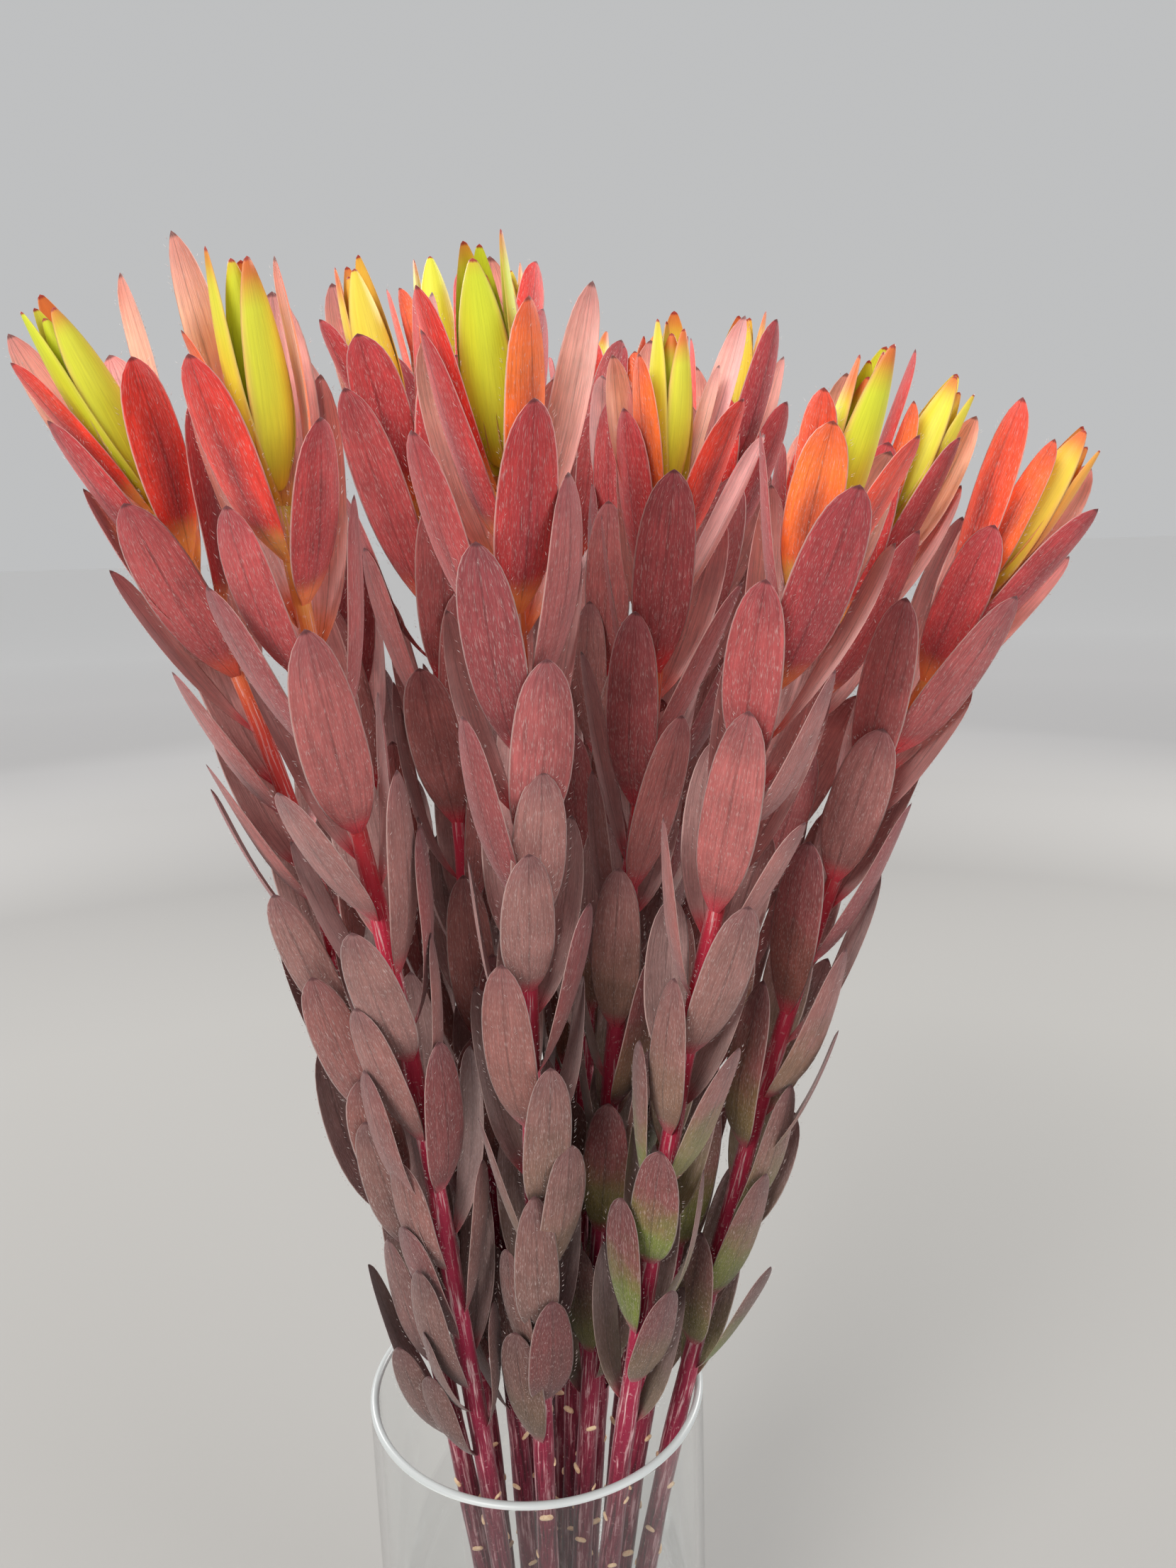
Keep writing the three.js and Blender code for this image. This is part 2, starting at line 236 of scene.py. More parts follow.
def makeLeafMaterial():
    look = leafFinish
    material, tree, shader = newMaterial(
        "leafSkin", Roughness=0.56, Specular_IOR_Level=0.35, Sheen_Weight=0.22, Sheen_Roughness=0.45)
    along, across, outer, tone, youth, green, low = marksOf(tree, "along across outer tone youth green low")
    side = calc(tree, "ABSOLUTE", across)
    fibres = fibreGrain(tree, along, across, tone, look)
    mottle = grain(tree, objectPlace(tree), look["mottle"])
    wide, long, apart = look["silkStretch"]
    slant = scaled(tree, across, wide, times(tree, along, look["silkSlant"]))
    strokes = vector(tree, slant, times(tree, along, long), times(tree, tone, apart))

    dusk = times(tree, fade(tree, youth, look["duskYouthAt"]), fade(tree, tone, look["duskToneAt"]))
    wine = times(tree, fade(tree, tone, look["wineToneAt"]), fade(tree, youth, look["wineYouthAt"]))
    # green shows through low on the blade where a leaf was shaded
    patch = fade(tree, scaled(tree, mottle, look["patchMottle"], along), look["patchAt"])
    patch = times(tree, green, patch, fade(tree, along, look["patchFootAt"]))
    # the centre of a red leaf is darker than its rim
    centre = times(tree, fade(tree, side, look["centreAt"]), fade(tree, youth, look["centreYouthAt"]),
                   fade(tree, along, look["centreTipAt"]))
    colour = ramp(tree, youth, look["outer"])
    for mask, coat in ((dusk, "dusk"), (low, "brown"), (wine, "wine"), (patch, "patch"), (centre, "centre")):
        colour = paint(tree, mask, colour, look[coat])
    # the inner skin, the tip and the foot
    back = paint(tree, patch, ramp(tree, youth, look["inner"]), look["backPatch"])
    colour = blend(tree, fade(tree, outer, look["skinAt"]), colour, back)
    tip = times(tree, fade(tree, along, look["tipAt"]), look["tipped"])
    colour = blend(tree, tip, colour, ramp(tree, youth, look["tip"]))
    foot = scaled(tree, fibres, look["footFibres"], scaled(tree, youth, look["footYouth"], along))
    foot = times(tree, fade(tree, foot, look["footAt"]), look["footed"])
    colour = blend(tree, foot, colour, ramp(tree, youth, look["base"]))
    # long fibres, a thin rib, painted shade that darkens the lower leaves deep in the bunch, silky hairs pressed to
    # the skin and a pale rim
    rib = times(tree, fade(tree, side, look["ribAt"]), look["ribDark"])
    light = times(tree, scaled(tree, fibres, *look["fibreLight"]), scaled(tree, mottle, *look["mottleLight"]),
                  scaled(tree, low, *look["lowPaintedShade"]), calc(tree, "SUBTRACT", 1.0, rib))
    colour = shaded(tree, colour, light)
    silk = times(tree, fade(tree, grain(tree, strokes, look["silk"]), look["silkAt"]), look["silky"])
    colour = paint(tree, silk, colour, look["hair"])
    rim = times(tree, fade(tree, side, look["rimAt"]), scaled(tree, low, *look["rimLow"]))
    colour = blend(tree, rim, colour, ramp(tree, youth, look["edge"]))
    colour = paint(tree, fade(tree, along, look["callusAt"]), colour, look["callus"])
    dye(tree, shader, colour)
    bump(tree, shader, calc(tree, "ADD", fibres, times(tree, silk, look["silkRelief"])), look["relief"])
    return material


# inner bracts: lime to yellow, warmer at the foot and tip
bractFinish = {
    "body": [(0.0, "d3e02e"), (0.4, "e8e442"), (0.7, "f6cf46"), (1.0, "f59d40")],
    "shade": (0.35, "a9bb24"), "foot": (0.7, "e9c83c"), "tip": (0.85, "de4a34"), "edge": (1.0, "f7b184"),
    "callus": (1.0, "a83c2c"),
    "fibres": (3.0, 4.0, 0.6), "stretch": (5.0, 1.4, 31.0), "fibreLight": (0.5, 0.75),
    "shadeAt": (0.5, 0.1), "footAt": (0.25, 0.02), "tipTone": 0.22, "tipAt": (1.0, 1.14),
    "edgeAt": (0.72, 0.98), "edgeTone": (0.5, 0.2), "callusAt": (0.985, 0.998), "relief": (0.0003, 0.4),
}


def makeBractMaterial():
    look = bractFinish
    material, tree, shader = newMaterial(
        "bractSkin", Roughness=0.48, Specular_IOR_Level=0.4, Sheen_Weight=0.15, Sheen_Roughness=0.4)
    along, across, tone, warmth = marksOf(tree, "along across tone warmth")
    side = calc(tree, "ABSOLUTE", across)
    fibres = fibreGrain(tree, along, across, tone, look)
    shade, foot = fade(tree, along, look["shadeAt"]), fade(tree, along, look["footAt"])
    blush = fade(tree, scaled(tree, tone, look["tipTone"], along), look["tipAt"])
    rim = times(tree, fade(tree, side, look["edgeAt"]), scaled(tree, tone, *look["edgeTone"]))
    colour = ramp(tree, warmth, look["body"])
    for mask, coat in ((shade, "shade"), (foot, "foot"), (blush, "tip"), (rim, "edge")):
        colour = paint(tree, mask, colour, look[coat])
    colour = shaded(tree, colour, scaled(tree, fibres, *look["fibreLight"]))
    colour = paint(tree, fade(tree, along, look["callusAt"]), colour, look["callus"])
    dye(tree, shader, colour)
    bump(tree, shader, fibres, look["relief"])
    return material


# stems: dark crimson bark in the vase, bright crimson between the leaves, orange under the head
caneFinish = {
    "climb": [(0.0, "5e2232"), (0.3, "7e2038"), (0.5, "b0264a"), (0.78, "d63550"), (0.88, "e4503f"), (0.94, "f28a46"),
              (0.975, "f5bd60"), (1.0, "e6dc64")],
    "bark": (1.0, "4a1a24"), "fuzz": (1.0, "f6cfcf"), "fineFuzz": (0.3, "f6cfcf"), "wood": (1.0, "ecbf92"),
    "scar": "fddcb4",
    "streaks": (2.2, 4.0, 0.65, 0.3), "round": 1.6, "climbStretch": 14.0, "toneStretch": 57.0,
    "fine": (700.0, 2.0, 0.6), "stray": 0.05, "lowAt": (0.42, 0.3), "barkAt": (0.5, 0.36), "fuzzAt": (0.52, 0.66),
    "fuzzLow": (-0.3, 0.78), "fineAt": (0.6, 0.75), "woodAt": (0.4, 0.7), "scarAt": (0.3, 0.8),
    "fineRelief": 0.4, "relief": (0.0006, 0.5),
}


def makeCaneMaterial():
    look = caneFinish
    material, tree, shader = newMaterial(
        "caneSkin", Roughness=0.5, Specular_IOR_Level=0.4, Sheen_Weight=0.4, Sheen_Roughness=0.35)
    climb, turn, scar, tone = marksOf(tree, "climb turn scar tone")
    x, y = (times(tree, calc(tree, wave, turn), look["round"]) for wave in ("COSINE", "SINE"))
    z = scaled(tree, climb, look["climbStretch"], times(tree, tone, look["toneStretch"]))
    streaks = grain(tree, vector(tree, x, y, z), look["streaks"])
    fine = grain(tree, objectPlace(tree), look["fine"])
    strayed = scaled(tree, streaks, look["stray"], calc(tree, "SUBTRACT", climb, look["stray"] / 2))
    colour = ramp(tree, strayed, look["climb"])
    low = fade(tree, climb, look["lowAt"])
    colour = paint(tree, times(tree, low, fade(tree, streaks, look["barkAt"])), colour, look["bark"])
    fuzz = times(tree, fade(tree, streaks, look["fuzzAt"]), scaled(tree, low, *look["fuzzLow"]))
    colour = paint(tree, fuzz, colour, look["fuzz"])
    colour = paint(tree, fade(tree, fine, look["fineAt"]), colour, look["fineFuzz"])
    peach = paint(tree, fade(tree, fine, look["woodAt"]), tint(look["scar"]), look["wood"])
    colour = blend(tree, fade(tree, scar, look["scarAt"]), colour, peach)
    dye(tree, shader, colour)
    bump(tree, shader, calc(tree, "ADD", streaks, times(tree, fine, look["fineRelief"])), look["relief"])
    return material


hairFinish = [(0.0, "dcc2bc"), (0.6, "eee0da"), (1.0, "faf5f2")]


def makeHairMaterial():
    material, tree, shader = newMaterial("silkHair", Roughness=0.45, Specular_IOR_Level=0.5)
    dye(tree, shader, ramp(tree, marksOf(tree, "tone")[0], hairFinish))
    return material


leafMaterial = makeLeafMaterial()
bractMaterial = makeBractMaterial()
caneMaterial = makeCaneMaterial()
hairMaterial = makeHairMaterial()
print("plant materials made")


# the growing rule of the bunch, in millimetres, as the solids follow it
vaseSize = {"radius": 60.0, "height": 200.0, "wall": 3.0, "floor": 12.0, "corner": 6.0}
touch = 0.3  # between a stem and what carries it
fan = {"waist": 110.0, "heads": 480.0, "foot": 0.25, "centreX": 25.0, "centreY": 5.0}
opening = {"wide": 0.6, "power": 1.2, "flare": 0.15, "flarePower": 6.0}
sway = 2.0
nod = {"below": 70.0, "above": 50.0}
cane = {"footRadius": 4.1, "tipRadius": 2.3, "taper": 1.3}
stemKeys = ("across", "back", "top", "turn", "lean", "hand", "warmth")
stemRows = [  # turn of the first leaf, lean of the nodding head, hand of the spiral, warmth of the bud
    (-80, -48, 505, 30, 4, 1, 0.25),
    (-53, -78, 505, 142, 24, -1, 0.2),
    (-22, -12, 520, -5, -6, 1, 0.6),
    (-12, 27, 534, 100, 0, -1, 0.45),
    (4, -76, 507, -48, -9, 1, 0.05),
    (4, 68, 556, 300, 0, -1, 0.5),
    (28, 102, 538, 250, 0, 1, 0.45),
    (42, 58, 520, 330, -4, -1, 0.85),
    (50, -30, 499, 20, -22, 1, 0.3),
    (64, 8, 510, -55, -14, -1, 0.6),
    (78, -82, 485, -125, -14, -1, 0.1),
    (109, -20, 488, 37, -4, 1, 0.55),
    (140, -38, 473, 40, 2, 1, 0.8),
    (-62, 22, 500, 120, 6, -1, 0.4),
    (104, 56, 496, 20, -6, -1, 0.5),
]
leafing = {"turn": 137.5, "spacing": 9.6, "crowding": 5.0, "start": 0.4, "first": 6.0, "lowest": 188.0}
leaf = {
    "length": (57.0, 63.0), "width": (16.5, 19.5), "base": (32.0, 35.0), "splay": (10.0, 16.0),
    "root": 0.5, "bend": 0.35, "cup": 0.12, "keel": 0.7,
}
young = {"leaves": 5.0, "narrower": 0.16, "closer": 3.0}
vary = {"turn": 9.0, "length": 0.12, "width": 0.08, "base": 7.0, "splay": 5.0, "twist": 0.35}
crossing = {"head": 5, "nested": 3}
bud = {"bracts": 3, "length": 54.0, "width": 11.5, "base": 30.0, "splay": 4.0, "root": 1.0, "rise": 2.2}
budVary = {"turn": 60.0, "shorter": 0.08, "twist": 0.2}
budRoom = {"low": 3.9, "high": 8.0, "rise": 16.0}
room = {"blade": 0.5, "stem": 1.8, "bud": 0.6, "glass": 1.0, "rim": 2.0}
probes = {"steps": 10, "across": (-1.0, -0.5, 0.0, 0.5, 1.0), "rootRise": 3.2, "tipFall": 4.0}
eases = [  # turn aside, closeness to the stem or spread, size, share of the turn to the outside
    (0, 1, 1, 0), (14, 1, 1, 0), (-14, 1, 1, 0), (0, 1.3, 1, 0.25), (10, 0.8, 1, 0.4), (-10, 0.8, 1, 0.4),
    (0, 1.1, 1, 0.6), (15, 1.3, 0.95, 0.5), (-15, 1.3, 0.95, 0.5), (0, 0.9, 0.9, 0.8), (0, 0.6, 0.85, 0.3),
    (0, 1.5, 0.85, 0.9), (12, 0.6, 0.82, 0), (-12, 0.4, 0.72, 0),
]


generator = {"seed": (7919, 12345), "step": (1664525, 1013904223), "range": 4294967296}


def drawsOf(seed):  # the same even draws from -1 to 1 as the solids use
    (factor, shift), size = generator["step"], generator["range"]
    state = (seed * generator["seed"][0] + generator["seed"][1]) % size
    while True:
        state = (state * factor + shift) % size
        yield state / size * 2 - 1


def mix(pair, share):
    return pair[0] + (pair[1] - pair[0]) * share


def makeStem(number, row):
    draw = drawsOf(number)
    stem = dict(zip(stemKeys, row), number=number, draw=draw, swayX=sway * next(draw), swayY=sway * next(draw))
    away = math.atan2(stem["back"] - fan["centreY"], stem["across"] - fan["centreX"])
    return dict(stem, outside=math.degrees(away))


bunch = [makeStem(i + 1, row) for i, row in enumerate(stemRows)]
columns = {key: np.array([stem[key] for stem in bunch], float)
           for key in ("across", "back", "top", "lean", "swayX", "swayY")}


def centres(z, stems=columns):  # where the stems are at the heights z
    climb = np.maximum(0, (z - fan["waist"]) / (fan["heads"] - fan["waist"]))
    spread = fan["foot"] + opening["wide"] * climb ** opening["power"]
    spread = spread + opening["flare"] * climb ** opening["flarePower"]
    bow = np.sin(np.pi * np.minimum(1, climb))
    head = np.maximum(0, (z - stems["top"] + nod["below"]) / (nod["below"] + nod["above"]))
    return (stems["across"] * spread + stems["swayX"] * bow + stems["lean"] * head * head,
            stems["back"] * spread + stems["swayY"] * bow)


def axis(stem, z):
    x, y = centres(np.float64(z), stem)
    return np.array((x, y, z), float)


def caneRadius(top, z):
    share = np.maximum(0, (z - vaseSize["floor"]) / (top - vaseSize["floor"]))
    return cane["footRadius"] - (cane["footRadius"] - cane["tipRadius"]) * share ** cane["taper"]


def unit(v):
    return v / np.linalg.norm(v)


def units(rows):
    return rows / np.linalg.norm(rows, axis=1)[:, None]


def seatOf(stem, z, turn):
    along = unit(axis(stem, z + 1) - axis(stem, z - 1))
    out = np.array((math.cos(math.radians(turn)), math.sin(math.radians(turn)), 0.0))
    out = unit(out - along * (out @ along))
    return {"root": axis(stem, z), "along": along, "out": out, "side": np.cross(along, out)}


def ribOf(blade):  # the midrib's three control points
    seat = blade["seat"]
    start = seat["root"] + seat["out"] * blade["rootRadius"]

    def at(distance, degrees):
        a = math.radians(degrees)
        return start + seat["along"] * (distance * math.cos(a)) + seat["out"] * (distance * math.sin(a))

    return start, at(blade["length"] * leaf["bend"], blade["base"]), at(blade["length"], blade["splay"])


def bladeFrame(blade, share):  # midrib point, tangent, side and inner direction at each share
    p, q, r = ribOf(blade)
    t = np.asarray(share, float)[:, None]
    centre = p * (1 - t) ** 2 + q * (2 * t * (1 - t)) + r * t * t
    tangent = units((q - p) * (1 - t) + (r - q) * t)
    side = blade["seat"]["side"]
    turn = blade["twist"] * t
    side = side * np.cos(turn) + np.cross(tangent, side) * np.sin(turn)
    return centre, tangent, side, np.cross(tangent, side)


def bladePoints(blade, share, reach, u, below):
    centre, _, side, inner = bladeFrame(blade, share)
    half = blade["width"] / 2 * np.asarray(reach, float)
    u = np.asarray(u, float)
    return centre + side * (u * half)[:, None] + inner * (np.abs(u) * half * blade["cup"] - below)[:, None]


# the plain three-sided blade: a point, two rings of three and a point
plainShare = [0.0, 0.3, 0.3, 0.3, 0.8, 0.8, 0.8, 1.0]
plainReach = [0.0, 0.96, 0.96, 0.96, 0.88, 0.88, 0.88, 0.0]
plainAcross = [0, 0, 1, -1, 0, 1, -1, 0]
spindleFaces = [(0, 1, 2), (0, 2, 3), (0, 3, 1), (7, 5, 4), (7, 6, 5), (7, 4, 6)]
for ringA, ringB in ((1, 2), (2, 3), (3, 1)):
    spindleFaces += [(ringA, ringB, ringA + 3), (ringB + 3, ringA + 3, ringB)]


def spindle(blade, swell, first=0):  # the plain blade, for finding room, without the faces before the first
    grown = dict(blade, width=blade["width"] + 2 * swell, length=blade["length"] + swell)
    ring = [blade["keel"] + swell, -swell, -swell]
    points = bladePoints(grown, plainShare, plainReach, plainAcross, np.array([0, *ring, *ring, 0]))
    tree = BVHTree.FromPolygons(points.tolist(), spindleFaces[first:], all_triangles=True)
    return {"tree": tree, "low": points.min(0), "high": points.max(0)}


probeShare = np.repeat(np.arange(1, probes["steps"] + 1) / probes["steps"], len(probes["across"]))
probeReach = np.minimum(1, np.minimum(probeShare * probes["rootRise"], (1 - probeShare) * probes["tipFall"]))
probeAcross = np.tile(probes["across"], probes["steps"])


def clearOfStems(blade, own, inHead=False):
    x, y, z = np.split(bladePoints(blade, probeShare, probeReach, probeAcross, 0.0), 3, 1)
    inside = vaseSize["radius"] - vaseSize["wall"] - room["glass"]
    if np.any((z < vaseSize["height"] + room["rim"]) & (np.hypot(x, y) > inside)):
        return False
    atX, atY = centres(z)
    distance = np.hypot(x - atX, y - atY)
    if inHead:
        distance[:, own["number"] - 1] = np.inf
    above = z - columns["top"]
    bulge = budRoom["low"] + (budRoom["high"] - budRoom["low"]) * np.minimum(1, above / budRoom["rise"])
    if np.any((above > 0) & (distance < bulge + room["bud"])):
        return False
    near = (above <= 0) & (distance < caneRadius(columns["top"], z) + room["stem"])
    near[:, own["number"] - 1] = False
    return not near.any()


def overlaps(item, other):
    apart = np.any(item["low"] >= other["high"]) or np.any(item["high"] <= other["low"])
    return not apart and bool(item["tree"].overlap(other["tree"]))


def clearOfBlades(blade, own, order, placed):
    swollen = spindle(blade, room["blade"])
    for item in placed:
        beside = order <= crossing["head"] or order - item["order"] < crossing["nested"]
        if not (item["stem"] is own and beside) and overlaps(item, swollen):
            return False
    return True


def makeLeaf(stem, z, order, ease):
    turnShift, closeness, size, outward = ease
    spread = stem["spreads"][order]
    height = (z - leafing["lowest"]) / (stem["top"] - leafing["lowest"])
    youth = max(0, 1 - order / young["leaves"])
    wide = (1 + vary["width"] * spread[2]) * (1 - young["narrower"] * youth)
    splay = mix(leaf["splay"], height) + vary["splay"] * spread[4] - young["closer"] * youth
    turn = stem["turn"] + leafing["turn"] * stem["hand"] * order + vary["turn"] * spread[0]
    toOutside = (stem["outside"] - turn + 180) % 360 - 180
    return dict(
        leaf, order=order, seat=seatOf(stem, z, turn + toOutside * outward + turnShift),
        rootRadius=caneRadius(stem["top"], z) * leaf["root"],
        length=mix(leaf["length"], math.sqrt(height)) * (1 + vary["length"] * spread[1]) * size,
        width=mix(leaf["width"], height) * wide * size,
        base=(mix(leaf["base"], height) + vary["base"] * spread[3]) * closeness,
        splay=splay * closeness, twist=vary["twist"] * spread[5] * closeness)


def settleLeaves():
    for stem in bunch:
        stem["heights"], stem["leaves"] = [], []
        z = stem["top"] - leafing["first"]
        while z > leafing["lowest"]:
            stem["heights"].append(z)
            crowded = math.exp(-(len(stem["heights"]) + leafing["start"]) / leafing["crowding"])
            z -= leafing["spacing"] * (1 - crowded)
        stem["spreads"] = [[next(stem["draw"]) for _ in vary] for _ in stem["heights"]]
    placed = []
    for order in range(max(len(stem["heights"]) for stem in bunch)):
        for stem in bunch:
            if order >= len(stem["heights"]):
                continue
            for ease in eases:
                blade = makeLeaf(stem, stem["heights"][order], order, ease)
                if clearOfStems(blade, stem) and clearOfBlades(blade, stem, order, placed):
                    placed.append(dict(spindle(blade, 0.0), stem=stem, order=order, blade=blade))
                    stem["leaves"].append(blade)
                    break
    return placed


# more young leaves stand behind each bud than the solids hold, and find their room in the same way
innerLook = {
    "turns": (90, 152, 28, 215), "below": 3.0, "step": 1.4, "root": 1.2, "length": (55.0, 48.0),
    "width": (14.0, 12.5), "base": 27.0, "splay": (13.0, 15.0), "turn": 14.0, "vary": 0.1,
}
frontLook = {"orders": 5, "shorter": 0.2, "sideways": 0.5}
partings = [  # turn, splay
    (7, 0), (-7, 0), (0, 4), (0, -4), (7, 4), (-7, 4), (12, 0), (-12, 0), (12, 5), (-12, 5), (0, 8), (0, -7),
    (8, 9), (-8, 9), (10, -7), (-10, -7), (16, 4), (-16, 4), (0, 12),
]
lowestFaces = 3  # the faces at a plain blade's foot, left out where only its upper part counts
seeds = {"leaves": 100, "buds": 300, "hairs": 500, "inner": 700, "canes": 900}


def rngOf(kind, stem):
    return np.random.default_rng(seeds[kind] + stem["number"])


def makeInnerLeaf(stem, number, draws, ease):
    look, (turnShift, closeness, size, _) = innerLook, ease
    share = number / (len(look["turns"]) - 1)
    turn = look["turns"][number] + look["turn"] * draws[0]
    return dict(
        leaf, order=-1 - number, rootRadius=look["root"],
        seat=seatOf(stem, stem["top"] - look["below"] + look["step"] * number, turn + turnShift),
        length=mix(look["length"], share) * (1 + look["vary"] * draws[1]) * size,
        width=mix(look["width"], share) * (1 + look["vary"] * draws[2]) * size,
        base=look["base"] * closeness, splay=mix(look["splay"], share) * min(1, closeness),
        twist=vary["twist"] * draws[3])


def clearAbove(blade, placed):  # its upper part cuts no other blade, not even of its own stem
    upper = spindle(blade, room["blade"], lowestFaces)
    return not any(item["blade"] is not blade and overlaps(item, upper) for item in placed)


def lowerFront(blade):  # young blades on the side of the photographer leave the bud's upper half in view
    x, y, _ = blade["seat"]["out"]
    facing = max(0.0, -y) * (1 - abs(x) * frontLook["sideways"])
    if blade["order"] < frontLook["orders"]:
        blade["length"] *= 1 - frontLook["shorter"] * facing


def parted(blade, stem, turn, splay):
    out = blade["seat"]["out"]
    turn += math.degrees(math.atan2(out[1], out[0]))
    seat = seatOf(stem, blade["seat"]["root"][2], turn)
    return {"seat": seat, "splay": blade["splay"] + splay, "base": blade["base"] + splay / 2}


def partBlades(placed):  # blades of one stem that cross above their roots are turned a little apart
    count = 0
    for item in placed:
        blade, stem = item["blade"], item["stem"]
        if clearAbove(blade, placed):
            continue
        others = [other for other in placed if other is not item]
        for turn, splay in partings:
            change = parted(blade, stem, turn, splay)
            tried = dict(blade, **change)
            if clearOfStems(tried, stem) and clearAbove(tried, others):
                blade.update(change)
                item.update(spindle(blade, 0.0))
                count += 1
                break
    return count


def settleInnerLeaves(placed):
    count = 0
    for stem in bunch:
        rng = rngOf("inner", stem)
        stem["inner"] = []
        for number in range(len(innerLook["turns"])):
            draws = rng.uniform(-1, 1, 4)
            for ease in eases:
                blade = makeInnerLeaf(stem, number, draws, ease)
                if not clearOfStems(blade, stem, inHead=True) or not clearOfBlades(blade, stem, 0, placed):
                    continue
                if clearAbove(blade, placed):
                    placed.append(dict(spindle(blade, 0.0), stem=stem, order=0, blade=blade))
                    stem["inner"].append(blade)
                    count += 1
                    break
    return count


settled = settleLeaves()
print("leaves settled:", len(settled))
for item in settled:
    lowerFront(item["blade"])
    item.update(spindle(item["blade"], 0.0))
print("blades parted:", partBlades(settled), "and", partBlades(settled))
print("inner leaves settled:", settleInnerLeaves(settled))


# shapes that are repeated: a flat closed blade, a hair and a leaf scar
bladeRows = [0.0, 0.06, 0.15, 0.28, 0.44, 0.6, 0.76, 0.88, 0.96, 1.0]
bladeSides = 8
scale = 0.001  # the rule above is in millimetres


def finishTemplate(bm, name):
    mesh = meshOf(bm, name)
    places = np.zeros(len(mesh.vertices) * 3)
    mesh.vertices.foreach_get("co", places)
    return mesh, places.reshape(-1, 3)


def makeTubeTemplate(name, sides, rows):  # a closed tube of radius 1, rows of points from z 0 to rows - 1
    bm = bmesh.new()
    bmesh.ops.create_cone(bm, cap_ends=True, segments=sides, radius1=1, radius2=1, depth=rows - 1)
    lengthwise = [e for e in bm.edges if abs(e.verts[0].co.z - e.verts[1].co.z) > 0.5]
    bmesh.ops.subdivide_edges(bm, edges=lengthwise, cuts=rows - 2)
    bmesh.ops.translate(bm, verts=bm.verts, vec=(0, 0, (rows - 1) / 2))
    return finishTemplate(bm, name)


def makeHairTemplate():
    bm = bmesh.new()
    bmesh.ops.create_cone(bm, cap_ends=True, segments=3, radius1=1, radius2=0, depth=1)
    bmesh.ops.remove_doubles(bm, verts=bm.verts, dist=0.001)
    bmesh.ops.translate(bm, verts=bm.verts, vec=(0, 0, 0.5))
    return finishTemplate(bm, "hairShape")


def makeScarTemplate():
    bm = bmesh.new()
    bmesh.ops.create_icosphere(bm, subdivisions=2, radius=1)
    return finishTemplate(bm, "scarShape")


bladeShape, bladeGrid = makeTubeTemplate("bladeShape", bladeSides, len(bladeRows))
bladeShare = np.array(bladeRows)[np.round(bladeGrid[:, 2]).astype(int)]
bladeAcross, bladeSkin = bladeGrid[:, 0], bladeGrid[:, 1]
hairShape, hairGrid = makeHairTemplate()
scarShape, scarGrid = makeScarTemplate()


def named(kind, stem):
    return f"{kind}_{stem['number']:02d}"


def dress(mesh, material, slot, *nodes, levels=0):
    mesh.materials.append(material)
    mesh.shade_smooth()
    piece = addObject(mesh.name, mesh)
    if levels:
        smooth = piece.modifiers.new("smooth", "SUBSURF")
        smooth.levels = smooth.render_levels = levels
    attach(piece, "root")
    if nodes:
        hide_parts(*nodes)


boxLow, boxHigh = (np.array(corner) / scale for corner in cadBounds)
boxMargin = 0.05


def addMarks(marks, count, **values):  # one value for the whole shape, or one for each of its points
    for key, value in values.items():
        marks.setdefault(key, []).append(np.broadcast_to(value, count))


def repeatShape(name, template, places, marks):
    bm = bmesh.new()
    for _ in places:
        bm.from_mesh(template)
    mesh = meshOf(bm, name)
    points = np.clip(np.concatenate(places), boxLow + boxMargin, boxHigh - boxMargin)
    mesh.vertices.foreach_set("co", (points * scale).ravel())
    for key, values in marks.items():
        attribute = mesh.attributes.new(key, "FLOAT", "POINT")
        attribute.data.foreach_set("value", np.concatenate(values).astype(np.float32))
    mesh.update()
    return mesh


leafLook = {
    "thick": 0.62, "cup": (0.14, 0.26), "cupVary": (0.7, 1.3), "ripple": 0.35, "rippleVary": (0.3, 1.4),
    "recurve": 1.2, "recurveVary": (-0.3, 1.0), "fullest": 0.54, "youngFuller": 0.06, "fullestVary": (-0.03, 0.03),
    "footPower": 1.9, "footCurve": 0.95, "tipPower": 3.1, "baseWidth": 0.15, "youthOrders": 7,
    "glowOrders": 4, "youngGlow": (0.5, 1.16), "oldGlow": (0.8, 1.15), "lowFrom": 380.0, "lowOver": 180.0,
}
surfaceLook = {"waves": 9, "edgeThinner": 0.85, "footBody": 0.3, "recurveFrom": 0.65, "recurveOver": 0.12}
greenLook = {"from": -5.0, "over": 45.0, "below": 350.0, "fade": 80.0, "vary": (0.2, 1.3), "odds": 0.08, "stray": 0.4}
phases = (0, 6.28)  # where the ripple of an edge starts


def footAndTip(share, fullest):  # how far below and above the widest place
    return np.clip((fullest - share) / fullest, 0, 1), np.clip((share - fullest) / (1 - fullest), 0, 1)


def ovalReach(share, fullest):  # half width from 0 to 1: narrow foot, round tip
    foot, tip = footAndTip(share, fullest)
    rise = (1 - foot ** leafLook["footPower"]) ** leafLook["footCurve"]
    fall = np.sqrt(np.maximum(0, 1 - tip ** leafLook["tipPower"]))
    return np.maximum(np.where(share < fullest, rise, fall), leafLook["baseWidth"] * (share < 0.5))


